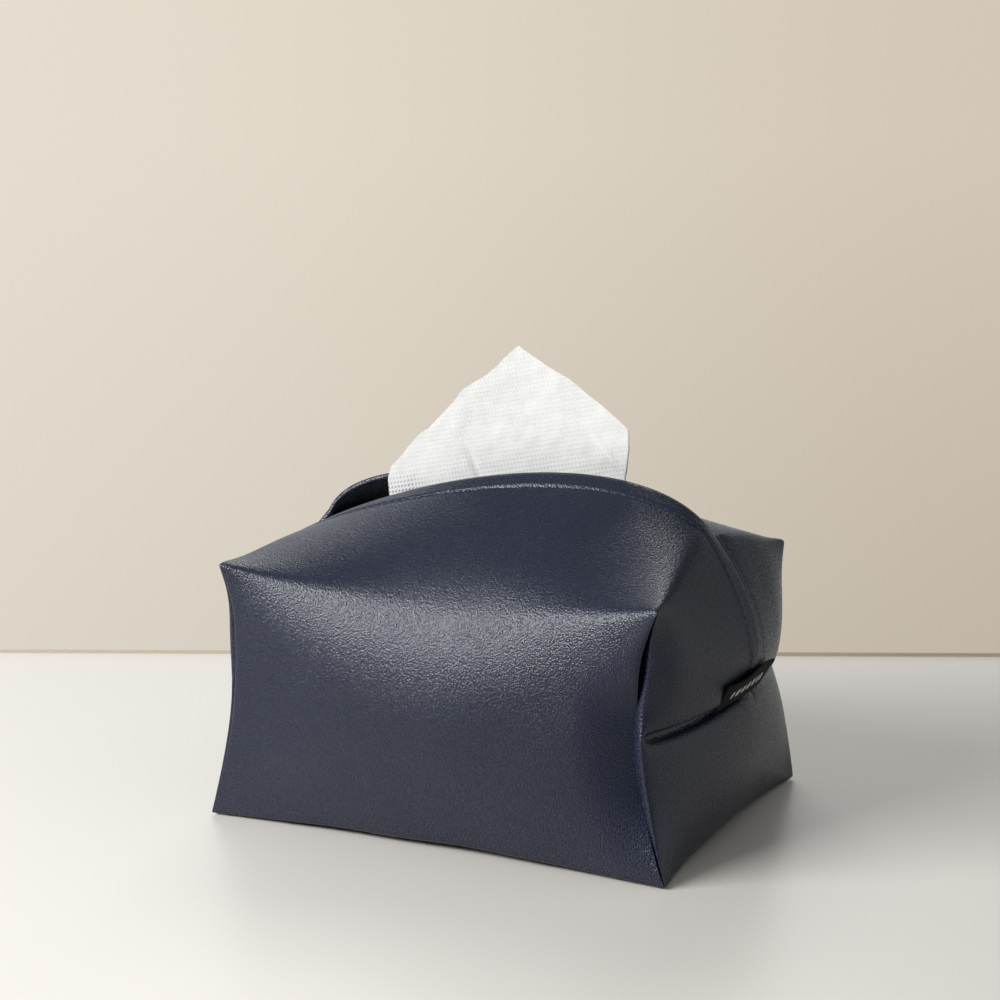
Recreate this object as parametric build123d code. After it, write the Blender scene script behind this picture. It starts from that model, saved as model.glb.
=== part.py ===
"""Soft tissue case: one sheet of leatherette, folded and sewn to a box with a mouth along its top."""
import os

from build123d import *

os.makedirs("parts", exist_ok=True)

# The case from ear tip to ear tip. An ear is the pinched point at each corner.
base_length = 200.0
base_depth = 146.0
top_length = 189.0
top_depth = 138.0
ear_height = 105.0
ear_fill = 5.0          # folded leatherette that fills the inside of an ear

# The sheet between the ears
wall = 1.6
hem = 3.0               # two layers, where the edge is turned in and sewn
side_pull = 12.0        # how far the upright edges are drawn in at mid height
side_shift = 1.5        # how far to the left both upright edges of the front are pulled
crown = 6.5             # how far the front and back stand out past their ears
end_crown = 9.0         # the same for the ends
roll_drop = 8.0         # how far the top edge sinks between two ears
base_lift = 2.5         # how far the bottom edge lifts between two ears
flat_room_x = 1.0       # how far the flat part of the base reaches past the pack
flat_room_y = 6.0

# The mouth. Its front lip is high on the right and its back lip on the left.
mouth_gap = 30.0
left_turn_gap = 16.0
right_turn_gap = 5.0    # pressed together, with the back lip tucked behind the front one
turn_inset = 11.0       # from an ear's end to where the lip turns down over the end
back_tuck = 2.0
lip_crest = 35.0        # above the ears
front_left_rise, front_right_rise = 3.5, 17.5
back_left_rise, back_right_rise = 9.0, 12.5

# The pleat at each upright edge, and the seam that runs from pleat to pleat
seam_height = 58.5
seam_out = 4.5          # past the ears, at the middle of the end
pleat_inset_x = 10.2
pleat_inset_y = 5.2
pleat_height = 55.0
left_pleat_open = 2.5   # how far the end panel stands out beside the pleat, above the seam
right_pleat_open = 6.0
back_pleat_open = 5.0   # the same below the seam. At the front it lies against the front panel
valley_inset_x = 18.0
valley_inset_y = 10.0
bend_shares = (0.0, 0.12, 0.27, 0.55, 1.0)      # where the strips of a fold meet, across it

# The woven label, folded in half and sewn into the right end seam
label_length = 44.0
label_height = 12.0
label_thick = 1.2
label_lean = 32.0       # degrees from upright
label_gap = 0.55        # from the seam to the label's root
label_side = 7.0        # from the mouth's end to the label's middle, towards the front

# The soft pack of tissues
end_room = 10.0         # from the ears of the base to the pack
side_room = 23.0
head_room = 19.0
seat_gap = 0.1
film = 0.6
film_round = 6.0
stack_gap = 0.2
slot_width = 26.0
slot_room = 9.0         # past each edge of the drawn sheet

# The drawn sheet, and the one that follows it
tissue = 0.6
drawn_width = 108.0
drawn_rise = 50.0       # above the lips
drawn_shoulder = 31.5   # from the tip down to the right-hand corner
drawn_fall = 60.0       # from the tip down to the left-hand corner
drawn_bow = 2.0
tip_side = 5.0          # the tip stands this far to the right
next_width = 100.0
next_rise = 9.0
next_gap = 4.0

half_length, half_depth = base_length / 2, base_depth / 2
pack_length = base_length - 2 * end_room
pack_depth = base_depth - 2 * side_room
pack_height = ear_height - head_room
pack_floor = wall + seat_gap
stack_top = pack_floor + pack_height - film - stack_gap
rises = {
    (-1, -1): front_left_rise,
    (1, -1): front_right_rise,
    (-1, 1): back_left_rise,
    (1, 1): back_right_rise,
}
turn_gaps = {-1: left_turn_gap, 1: right_turn_gap}
pleat_opens = {-1: left_pleat_open, 1: right_pleat_open}
sides = ((-1, "left"), (1, "right"))
faces_y = ((-1, "front"), (1, "back"))


def point(sx, sy, x, y, z):
    """A point of the quadrant with the signs sx and sy."""
    return Vector(sx * x, sy * y, z)


def between(a, b, share):
    return a + (b - a) * share


def turned(net):
    return [list(line) for line in zip(*net)]


def halves(line):
    """The two halves of a cubic."""
    p0, p1, p2, p3 = line
    a, b, c = (p0 + p1) / 2, (p1 + p2) / 2, (p2 + p3) / 2
    d, e = (a + b) / 2, (b + c) / 2
    m = (d + e) / 2
    return [p0, a, d, m], [m, e, c, p3]


def level(sy, side, spread, middle_y, middle_z):
    """A symmetric row from end to end that passes through the middle point at x 0."""
    y = (middle_y - side.Y * 0.25) / 0.75
    z = (middle_z - side.Z * 0.25) / 0.75
    handle = side.X * spread
    return [Vector(-side.X, sy * side.Y, side.Z), Vector(-handle, sy * y, z),
            Vector(handle, sy * y, z), Vector(side.X, sy * side.Y, side.Z)]


def cubic(line, t):
    """The point at t on a cubic."""
    p0, p1, p2, p3 = line
    return p0 * (1 - t)**3 + p1 * (3 * t * (1 - t)**2) + p2 * (3 * t**2 * (1 - t)) + p3 * t**3


def bend(edge, line, out):
    """A fold from the edge of a panel into the pleat, as strips that are straight across."""
    rows = []
    for a, b in zip(edge, line):
        reach = min((a - b).length / 15, 1.0)
        rows.append([a, a + out * reach, between(b, a, 0.45) + out * reach * 0.4, b])
    curves = [[cubic(row, share) for row in rows] for share in bend_shares]
    return [[[p, q] for p, q in zip(a, b)] for a, b in zip(curves, curves[1:])]


def skin(t, lip, fill):
    """The control nets of the sheet: t inside its outer face, lip inside it at the mouth."""
    u, v, h = half_length, half_depth, ear_height
    softer = 1 - 0.3 * t

    def bottom_ear(sx, sy):
        return point(sx, sy, u - fill, v - fill, t)

    def top_ear(sx, sy):
        return point(sx, sy, top_length / 2 - fill, top_depth / 2 - fill, h - fill)

    def shift(sx, sy):
        return sx * side_shift if sy < 0 else 0

    def tuck(sx, sy):
        return back_tuck if (sx, sy) == (1, 1) else 0

    def valley(sx, sy):
        x, y = u - valley_inset_x - shift(sx, sy) - 2 * t, v - valley_inset_y - 1.4 * t
        middle = point(sx, sy, x, y, pleat_height - 3)
        high_x = u - 11.5 - shift(sx, sy) - 2 * t
        return ([bottom_ear(sx, sy), point(sx, sy, u - 10 - 2 * t, v - 5 - 1.4 * t, 0.15 * h),
                 point(sx, sy, x, y, pleat_height - 0.18 * h), middle],
                [middle, point(sx, sy, x, y, pleat_height + 0.12 * h),
                 point(sx, sy, high_x, v - 9 - 1.4 * t, 0.84 * h), top_ear(sx, sy)])

    def panel_edge(sx, sy):
        """The upright edge of the end panels, where the pleat begins."""
        x, y = u - pleat_inset_x - shift(sx, sy) - t, v - pleat_inset_y - t
        low = 0 if sy < 0 else back_pleat_open
        high = pleat_opens[sx]
        low_x = u - 4.4 + low - 0.5 * shift(sx, sy) - t
        middle = point(sx, sy, x, y, pleat_height)
        return ([bottom_ear(sx, sy), point(sx, sy, low_x, v - 3.5 - t, 0.17 * h),
                 point(sx, sy, x + 1.2 + low, y + 0.6, pleat_height - 0.18 * h), middle],
                [middle, point(sx, sy, x + high, y - 2, pleat_height + 0.14 * h),
                 point(sx, sy, u - 10 + high - t, v - 7 - t, 0.875 * h), top_ear(sx, sy)])

    def face(sy):
        """The front or the back, from the bottom edge up to the roll, in two halves."""
        edge = [bottom_ear(1, 1), Vector(u - side_pull * 1.15 - t, v - 1 - t, h * 0.31),
                Vector(top_length / 2 - side_pull - 2.5 - t, top_depth / 2 + 0.5 - t, h * 0.73),
                top_ear(1, 1)]
        full = v + crown - t
        middle = [(v - 2.5 - t, base_lift + t), (full, h * 0.30), (full, h * 0.71),
                  (top_depth / 2 - 6 - t, h - roll_drop - 0.5 * t)]
        spreads = [0.36, 0.38, 0.38, 0.36]
        rows = [level(sy, side, spread, y, z) for side, spread, (y, z) in zip(edge, spreads, middle)]
        for row in rows[1:3]:
            row[0] += Vector(shift(-1, sy), 0, 0)
            row[3] -= Vector(shift(1, sy), 0, 0)
        columns = [halves(column) for column in turned(rows)]
        return [column[0] for column in columns], [column[1] for column in columns]

    def ridge(sx, sy):
        """From the top ear to the place where the lip turns down."""
        rise = rises[sx, sy]
        return [top_ear(sx, sy),
                point(sx, sy, u - 5 - t, 0.70 * v, h + rise * 0.45 - t),
                point(sx, sy, u - 8 - t, 0.38 * v, h + rise * 1.05 - t),
                point(sx, sy, u - turn_inset - tuck(sx, sy) - 0.6 * lip, turn_gaps[sx] / 2 - 0.13 * lip,
                      h + rise - 0.7 * lip)]

    def top(sy, roll):
        left, right = ridge(-1, sy), ridge(1, sy)
        reach, lift = {-1: ((-0.38, 0.638), (0.92, 1.58)), 1: ((-0.74, 0.45), (1.25, 0.85))}[sy]
        lips = [Vector(x * u, sy * (mouth_gap * 0.58 - 0.4 * lip), h + z * lip_crest - 0.8 * lip)
                for x, z in zip(reach, lift)]
        low, high = 0.26 * lip_crest, 0.78 * lip_crest
        rows = [roll,
                [left[1], Vector(-0.38 * u, sy * 0.67 * v, h + low - t),
                 Vector(0.38 * u, sy * 0.67 * v, h + low + 3 - t), right[1]],
                [left[2], Vector(-0.40 * u, sy * 0.38 * v, h + high - 3 - t),
                 Vector(0.48 * u, sy * 0.38 * v, h + high + 4 - t), right[2]],
                [left[3], lips[0], lips[1], right[3]]]
        return turned(rows)

    def seam(sx, sy):
        x = u + seam_out - lip
        return [panel_edge(sx, sy)[0][3], point(sx, sy, u - 4 - t, 0.68 * v, pleat_height - 1),
                point(sx, sy, x - 1, 0.33 * v, seam_height), Vector(sx * x, 0, seam_height)]

    def end_top(sx, sy):
        side = panel_edge(sx, sy)[1]
        out = u + end_crown
        turn_z = h + rises[sx, sy]
        inset = tuck(sx, sy)
        lip_1 = point(sx, sy, u - 1 - inset - 0.8 * lip, 0.31 * turn_gaps[sx] - 0.13 * lip,
                      turn_z - 13 - 0.4 * lip)
        lip_2 = point(sx, sy, out + 10 - inset - lip, 1 - 0.13 * lip, 0.76 * h)
        return [ridge(sx, sy),
                [side[2], point(sx, sy, out - 4 - t, 0.68 * v, 0.9 * h),
                 point(sx, sy, out - 3 - t, 0.33 * v, between(0.9 * h, lip_1.Z, 0.7)), lip_1],
                [side[1], point(sx, sy, out + 1 - t, 0.66 * v, 0.54 * h),
                 point(sx, sy, out + 4 - t, 0.33 * v, 0.59 * h), lip_2],
                seam(sx, sy)]

    def end_low(sx, sy):
        side = panel_edge(sx, sy)[0]
        out = u + end_crown
        rows = [(side[2], out - t, 1.0, 0.4 * h, 0.4 * h),
                (side[1], out - 3 - t, 1.0, 0.17 * h, 0.17 * h),
                (side[0], u - 3 - t, 0.5, base_lift - 0.5 + t, base_lift + 0.5 + t)]
        net = [seam(sx, sy)]
        for start, x, back, z_outer, z in rows:
            net.append([start, point(sx, sy, x - back, 0.67 * v, z_outer),
                        point(sx, sy, x, 0.33 * v, z), Vector(sx * x, 0, z)])
        return net

    nets = {}
    for sy, name in faces_y:
        low, high = face(sy)
        nets[name + "_low"], nets[name + "_high"] = low, high
        nets["top_" + name] = top(sy, [column[3] for column in high])
        for sx, side in sides:
            nets["end_top_" + name + "_" + side] = end_top(sx, sy)
            nets["end_low_" + name + "_" + side] = end_low(sx, sy)
            column = -1 if sx > 0 else 0
            out, across = point(sx, sy, 6.5, -1.6, 0) * softer, point(sx, sy, -1.2, 2.0, 0) * softer
            for half, edge, panel, line in zip(("low", "high"), (low[column], high[column]),
                                               panel_edge(sx, sy), valley(sx, sy)):
                for kind, start, way in (("face", edge, out), ("end", panel, across)):
                    for k, strip in enumerate(bend(start, line, way)):
                        nets["bend_" + kind + "_" + half + "_" + name + "_" + side + str(k)] = strip
    return nets


def rim(edge, a, b):
    """A strip from the bottom edge of a panel down to the straight side of the flat base."""
    side = [a, between(a, b, 1 / 3), between(a, b, 2 / 3), b]
    return [[p, q] for p, q in zip(edge, side)]


def base(nets, z):
    """The base: a flat middle, joined to the edges of the panels all round."""
    x, y = pack_length / 2 + flat_room_x, pack_depth / 2 + flat_room_y
    found = []
    for sy, name in faces_y:
        edge = [column[0] for column in nets[name + "_low"]]
        found.append(rim(edge, Vector(-x, sy * y, z), Vector(x, sy * y, z)))
        for sx, side in sides:
            edge = nets["end_low_" + name + "_" + side][3]
            found.append(rim(edge, Vector(sx * x, sy * y, z), Vector(sx * x, 0, z)))
    corners = [(-x, -y, z), (x, -y, z), (x, 0, z), (x, y, z), (-x, y, z), (-x, 0, z)]
    return [Face.make_bezier_surface(net) for net in found] + [Face(Wire.make_polygon(corners, close=True))]


def lip_edges(nets):
    """The edge of the sheet along the mouth, as six cubics."""
    edges = []
    for _, name in faces_y:
        edges.append([column[3] for column in nets["top_" + name]])
        edges += [[line[3] for line in nets["end_top_" + name + "_" + side]] for _, side in sides]
    return edges


def case_sheet():
    outer, inner = skin(0, 0, 0), skin(wall, hem, ear_fill)
    found = [Face.make_bezier_surface(net) for nets in (outer, inner) for net in nets.values()]
    found += base(outer, 0) + base(inner, wall)
    for a, b in zip(lip_edges(outer), lip_edges(inner)):
        found.append(Face.make_bezier_surface([[p, q] for p, q in zip(a, b)]))
    return Solid(Shell(found))


def loop_label():
    """A strip that stands in the end seam and leans out against the upper panel."""
    outline = Plane.XZ * Pos(0, label_height / 2) * Rot(0, 0, 90)
    outline *= SlotCenterToCenter(label_height - label_thick, label_thick)
    strip = extrude(outline, label_length / 2, both=True)
    root_x = half_length + seam_out + label_gap + label_thick / 2
    return Pos(root_x, -label_side, seam_height) * Rot(0, label_lean, 0) * strip



def pack_block(inset):
    """The pack's block, so much smaller on every side. Only its long edges are round, where sheets fold."""
    height = pack_height - 2 * inset
    block = Box(pack_length - 2 * inset, pack_depth - 2 * inset, height)
    folds = block.edges().filter_by(Axis.X)
    return Pos(0, 0, pack_floor + inset + height / 2) * fillet(folds, film_round - inset)


def pack_film():
    """The film of the soft pack, with the slot torn open in its top."""
    outline = SlotOverall(drawn_width + 2 * slot_room, slot_width)
    slot = Pos(0, 0, stack_top) * extrude(outline, 3 * (film + stack_gap))
    return pack_block(0) - pack_block(film) - slot


def tissue_stack():
    """The folded sheets that are left, pressed to a block."""
    return pack_block(film + stack_gap)


def drawn_tissue():
    """A sheet that stands in the mouth, its corner up, bowed to and fro along its width."""
    foot = stack_top + tissue
    tip = ear_height + lip_crest + drawn_rise
    left, right = -drawn_width / 2, drawn_width / 2
    outline = Polyline((left, foot), (right, foot), (right, tip - drawn_shoulder), (tip_side, tip),
                       (left, tip - drawn_fall), close=True)
    front = extrude(Plane.XZ * make_face(outline), 4 * drawn_bow, both=True)
    bow = SagittaArc((left - 1, 0), (0, 0), -drawn_bow) + SagittaArc((0, 0), (right + 1, 0), drawn_bow)
    section = Plane.XY * make_face([*bow.edges(), *(Pos(0, tissue) * bow).edges(),
                                    Line((left - 1, 0), (left - 1, tissue)),
                                    Line((right + 1, 0), (right + 1, tissue))])
    return front & extrude(Pos(0, 0, stack_top) * section, tip)


def next_tissue():
    """The next sheet's fold, standing up in the slot behind the drawn one."""
    foot = stack_top + tissue
    return Pos(0, next_gap + tissue / 2, foot + next_rise / 2) * Box(next_width, tissue, next_rise)


pieces = {
    "case_sheet": case_sheet(),
    "loop_label": loop_label(),
    "pack_film": pack_film(),
    "tissue_stack": tissue_stack(),
    "next_tissue": next_tissue(),
    "drawn_tissue": drawn_tissue(),
}
for name, piece in pieces.items():
    print(name, piece.is_valid, round(piece.volume), piece.bounding_box())
    export_step(piece, "parts/" + name + ".step")
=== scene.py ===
import math

import bpy
import numpy as np
from mathutils import Matrix, Vector, noise
from mathutils.bvhtree import BVHTree
from mathutils.kdtree import KDTree


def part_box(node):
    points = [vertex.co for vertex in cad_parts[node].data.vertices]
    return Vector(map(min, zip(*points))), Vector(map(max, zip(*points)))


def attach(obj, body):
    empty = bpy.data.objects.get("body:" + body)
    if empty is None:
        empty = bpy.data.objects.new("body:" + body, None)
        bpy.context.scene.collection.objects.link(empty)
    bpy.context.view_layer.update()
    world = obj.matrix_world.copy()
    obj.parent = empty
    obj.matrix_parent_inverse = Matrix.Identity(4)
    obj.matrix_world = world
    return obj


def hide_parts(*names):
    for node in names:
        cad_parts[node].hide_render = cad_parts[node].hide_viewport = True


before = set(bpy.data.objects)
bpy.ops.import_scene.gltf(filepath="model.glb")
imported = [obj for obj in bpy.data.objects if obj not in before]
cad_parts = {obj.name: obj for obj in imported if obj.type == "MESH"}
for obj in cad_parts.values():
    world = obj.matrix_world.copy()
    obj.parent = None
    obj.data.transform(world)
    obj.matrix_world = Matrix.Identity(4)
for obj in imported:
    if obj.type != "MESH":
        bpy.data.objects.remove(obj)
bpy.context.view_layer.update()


# The case: one sheet of navy leatherette, wrapped to a box, with its long edges hemmed for the mouth.
# Each end is closed by one turned seam, and a pleat folds in at each upright edge. The corners are
# left pinched to points. The sheet is 1.6 mm thick, and 3 mm along the mouth where it is doubled.
mm = 0.001
base_length, base_depth = 200.0, 146.0
top_length, top_depth = 189.0, 138.0
ear_height = 105.0
half_length, half_depth = base_length / 2, base_depth / 2
wall, hem = 1.6, 3.0
ear_fill = 5.0                              # how much of a pinched corner is solid
crown, end_crown = 6.5, 9.0                 # how far the walls bulge
side_pull, side_shift = 12.0, 1.5           # the upright edges are drawn in, and the front's to the left
roll_drop, base_lift = 8.0, 2.5             # between the ears the roll sags and the bottom edge lifts
mouth_gap, lip_crest = 30.0, 35.0
turn_gaps = {-1: 16.0, 1: 5.0}              # between the lips where they turn down over each end
turn_insets = {(-1, -1): 11.0, (1, -1): 11.0, (-1, 1): 11.0, (1, 1): 13.0}
rises = {(-1, -1): 3.5, (1, -1): 17.5, (-1, 1): 9.0, (1, 1): 12.5}      # of the lips there, over the ears
seam_height, seam_out = 58.5, 4.5
pleat_inset_x, pleat_inset_y, pleat_height = 10.2, 5.2, 55.0
pleat_open = {-1: 2.5, 1: 6.0}              # of the left and right pleats above the seam
low_open = {-1: 0.0, 1: 5.0}                # of the front and back pleats below it
valley_inset_x, valley_inset_y = 18.0, 10.0
flat_x, flat_y = 91.0, 56.0                 # half of the part of the base that lies flat


def at(sx, sy, x, y, z):
    """A point in the quarter of the case that the signs name."""
    return np.array([sx * x, sy * y, z])


def halves(line):
    """A Bezier line cut in two at its middle."""
    p0, p1, p2, p3 = line
    a, b, c = (p0 + p1) / 2, (p1 + p2) / 2, (p2 + p3) / 2
    d, e = (a + b) / 2, (b + c) / 2
    return [p0, a, d, (d + e) / 2], [(d + e) / 2, e, c, p3]


def level(sy, side, spread, middle_y, middle_z):
    """A line across the front or back that ends at the side points and passes through the middle one."""
    y = (middle_y - side[1] * 0.25) / 0.75
    z = (middle_z - side[2] * 0.25) / 0.75
    handle = side[0] * spread
    return [at(-1, sy, *side), at(-1, sy, handle, y, z), at(1, sy, handle, y, z), at(1, sy, *side)]


def bend(edge, line, out):
    """The net of a pleat's strip, from the edge in to the line, which starts outwards."""
    rows = []
    for a, b in zip(edge, line):
        reach = min(np.linalg.norm(a - b) / 15, 1.0)
        rows.append([a, a + out * reach, b + (a - b) * 0.45 + out * reach * 0.4, b])
    return rows


def skin(t, lip, fill):
    """The control nets of one face of the sheet, t inside the outer one and lip inside it at the mouth."""
    u, v, h = half_length, half_depth, ear_height
    bottom, top_ear = (u - fill, v - fill, t), (top_length / 2 - fill, top_depth / 2 - fill, h - fill)

    def valley(sx, sy):
        """The deepest line of a pleat, in two halves."""
        shift = sx * side_shift * (sy < 0)
        x, y = u - valley_inset_x - shift - 2 * t, v - valley_inset_y - 1.4 * t
        middle = at(sx, sy, x, y, pleat_height - 3)
        return ([at(sx, sy, *bottom), at(sx, sy, u - 10 - 2 * t, v - 5 - 1.4 * t, 0.15 * h),
                 at(sx, sy, x, y, pleat_height - 0.18 * h), middle],
                [middle, at(sx, sy, x, y, pleat_height + 0.12 * h),
                 at(sx, sy, u - 11.5 - shift - 2 * t, v - 9 - 1.4 * t, 0.84 * h), at(sx, sy, *top_ear)])

    def panel_edge(sx, sy):
        """The edge of an end beside a pleat, in two halves."""
        shift = sx * side_shift * (sy < 0)
        x, y = u - pleat_inset_x - shift - t, v - pleat_inset_y - t
        low_x = u - 4.4 + low_open[sy] - 0.5 * shift - t
        middle = at(sx, sy, x, y, pleat_height)
        return ([at(sx, sy, *bottom), at(sx, sy, low_x, v - 3.5 - t, 0.17 * h),
                 at(sx, sy, x + 1.2 + low_open[sy], y + 0.6, pleat_height - 0.18 * h), middle],
                [middle, at(sx, sy, x + pleat_open[sx], y - 2, pleat_height + 0.14 * h),
                 at(sx, sy, u - 10 + pleat_open[sx] - t, v - 7 - t, 0.875 * h), at(sx, sy, *top_ear)])

    def face(sy):
        """The front or the back, in a low and a high half."""
        edge = [bottom, (u - side_pull * 1.15 - t, v - 1 - t, h * 0.31),
                (top_length / 2 - side_pull - 2.5 - t, top_depth / 2 + 0.5 - t, h * 0.73), top_ear]
        full = v + crown - t
        middle = [(v - 2.5 - t, base_lift + t), (full, h * 0.30), (full, h * 0.71),
                  (top_depth / 2 - 6 - t, h - roll_drop - 0.5 * t)]
        spreads = (0.36, 0.38, 0.38, 0.36)
        rows = [level(sy, side, spread, *mid) for side, spread, mid in zip(edge, spreads, middle)]
        for row in rows[1:3] if sy < 0 else []:
            row[0], row[3] = (p - np.array([side_shift, 0, 0]) for p in (row[0], row[3]))
        columns = [halves(column) for column in zip(*rows)]
        return [column[0] for column in columns], [column[1] for column in columns]

    def ridge(sx, sy):
        """The soft line from an ear up to the lip, between the top and the end."""
        rise = rises[sx, sy]
        return [at(sx, sy, *top_ear),
                at(sx, sy, u - 5 - t, 0.70 * v, h + rise * 0.45 - t),
                at(sx, sy, u - 8 - t, 0.38 * v, h + rise * 1.05 - t),
                at(sx, sy, u - turn_insets[sx, sy] - 0.6 * lip, turn_gaps[sx] / 2 - 0.13 * lip,
                   h + rise - 0.7 * lip)]

    def top(sy, roll):
        """One side of the top, from its roll to its lip."""
        left, right = ridge(-1, sy), ridge(1, sy)
        reach, lift = {-1: ((-0.38, 0.638), (0.92, 1.58)), 1: ((-0.77, 0.45), (1.19, 0.85))}[sy]
        lips = [np.array([x * u, sy * (mouth_gap * 0.58 - 0.4 * lip), h + z * lip_crest - 0.8 * lip])
                for x, z in zip(reach, lift)]
        low, high = 0.26 * lip_crest, 0.78 * lip_crest
        rows = [roll,
                [left[1], at(-1, sy, 0.38 * u, 0.67 * v, h + low - t),
                 at(1, sy, 0.38 * u, 0.67 * v, h + low + 3 - t), right[1]],
                [left[2], at(-1, sy, 0.40 * u, 0.38 * v, h + high - 3 - t),
                 at(1, sy, 0.48 * u, 0.38 * v, h + high + 4 - t), right[2]],
                [left[3], lips[0], lips[1], right[3]]]
        return list(zip(*rows))

    def seam(sx, sy):
        """Half of an end's seam, from the pleat to the middle."""
        x = u + seam_out - lip
        return [panel_edge(sx, sy)[0][3], at(sx, sy, u - 4 - t, 0.68 * v, pleat_height - 1),
                at(sx, sy, x - 1, 0.33 * v, seam_height), at(sx, sy, x, 0, seam_height)]

    def end_top(sx, sy):
        """Half of an end above its seam, up to the lip."""
        side = panel_edge(sx, sy)[1]
        out = u + end_crown
        turn_z = h + rises[sx, sy]
        tuck = turn_insets[sx, sy] - 11.0
        lip_1 = at(sx, sy, u - 1 - tuck - 0.8 * lip, 0.31 * turn_gaps[sx] - 0.13 * lip,
                   turn_z - 13 - 0.4 * lip)
        lip_2 = at(sx, sy, out + 10 - tuck - lip, 1 - 0.13 * lip, 0.76 * h)
        return [ridge(sx, sy),
                [side[2], at(sx, sy, out - 4 - t, 0.68 * v, 0.9 * h),
                 at(sx, sy, out - 3 - t, 0.33 * v, 0.27 * h + 0.7 * lip_1[2]), lip_1],
                [side[1], at(sx, sy, out + 1 - t, 0.66 * v, 0.54 * h),
                 at(sx, sy, out + 4 - t, 0.33 * v, 0.59 * h), lip_2],
                seam(sx, sy)]

    def end_low(sx, sy):
        """Half of an end below its seam."""
        side = panel_edge(sx, sy)[0]
        out = u + end_crown
        rows = [(side[2], out - t, 1.0, 0.4 * h, 0.4 * h),
                (side[1], out - 3 - t, 1.0, 0.17 * h, 0.17 * h),
                (side[0], u - 3 - t, 0.5, base_lift - 0.5 + t, base_lift + 0.5 + t)]
        net = [seam(sx, sy)]
        for start, x, back, z_outer, z in rows:
            net.append([start, at(sx, sy, x - back, 0.67 * v, z_outer), at(sx, sy, x, 0.33 * v, z),
                        at(sx, sy, x, 0, z)])
        return net

    nets = {}
    softer = 1 - 0.3 * t
    for sy in (-1, 1):
        low, high = face(sy)
        nets["face_low", 0, sy], nets["face_high", 0, sy] = low, high
        nets["top", 0, sy] = top(sy, [column[3] for column in high])
        for sx in (-1, 1):
            nets["end_top", sx, sy], nets["end_low", sx, sy] = end_top(sx, sy), end_low(sx, sy)
            column = -1 if sx > 0 else 0
            out, across = at(sx, sy, 6.5, -1.6, 0) * softer, at(sx, sy, -1.2, 2.0, 0) * softer
            for half, edge, panel, line in zip(("low", "high"), (low[column], high[column]),
                                               panel_edge(sx, sy), valley(sx, sy)):
                nets["fold_" + half, sx, sy] = bend(edge, line, out)
                nets["tuck_" + half, sx, sy] = bend(panel, line, across)
    return nets


def surface(net, us, vs):
    """Points of a patch at the shares us and vs."""
    def weights(ts, n):
        return np.array([[math.comb(n, k) * t**k * (1 - t)**(n - k) for k in range(n + 1)] for t in ts])
    net = np.array([[list(p) for p in row] for row in net], float)
    return np.einsum("ui,vj,ijk->uvk", weights(us, len(net) - 1), weights(vs, len(net[0]) - 1), net)


along = np.linspace(0, 1, 97)           # from end to end, 2 mm apart
upright = np.linspace(0, 1, 35)         # half of the height, finer at the seam and the ears
upright = 0.6 * upright + 0.2 * (1 - np.cos(math.pi * upright))
deep = np.linspace(0, 1, 11)            # into a pleat
to_lip = np.concatenate([np.linspace(0, 0.82, 25), np.linspace(0.83, 1, 17)])     # finer at the hem
spacing = {"face": (along, upright), "top": (along, to_lip), "end": (upright, to_lip),
           "fold": (upright, deep), "tuck": (upright, deep)}
corners, quads, edge_roll = [], [], []


def lay(points, roll=None):
    """Adds a grid of points and its faces to the sheet. roll says how softly each one is rounded."""
    nu, nv = points.shape[:2]
    start = len(corners)
    corners.extend(points.reshape(-1, 3))
    edge_roll.extend(np.zeros(nu * nv) if roll is None else roll.reshape(-1))
    for i in range(nu - 1):
        for j in range(nv - 1):
            k = start + i * nv + j
            quads.append((k, k + nv, k + nv + 1, k + 1))


def share_of(value):
    """The value, kept from 0 to 1."""
    return np.clip(value, 0, 1)


def eased(share):
    """A share that sets out and comes in gently."""
    return share**2 * (3 - 2 * share)


def grid(us, vs):
    """A weight for each point of a panel, from one along it and one across it."""
    return us[:, None] * vs[None]


turn_width, turn_way = 27.0, np.array([1.6, 7.5, 0.0])      # the front turns back before its right edge
hollow = 14.0                                               # of the strip behind that edge
valley_way, end_way = np.array([-5.0, 4.0, 0.0]), np.array([-4.5, 1.0, 0.0])


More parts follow.
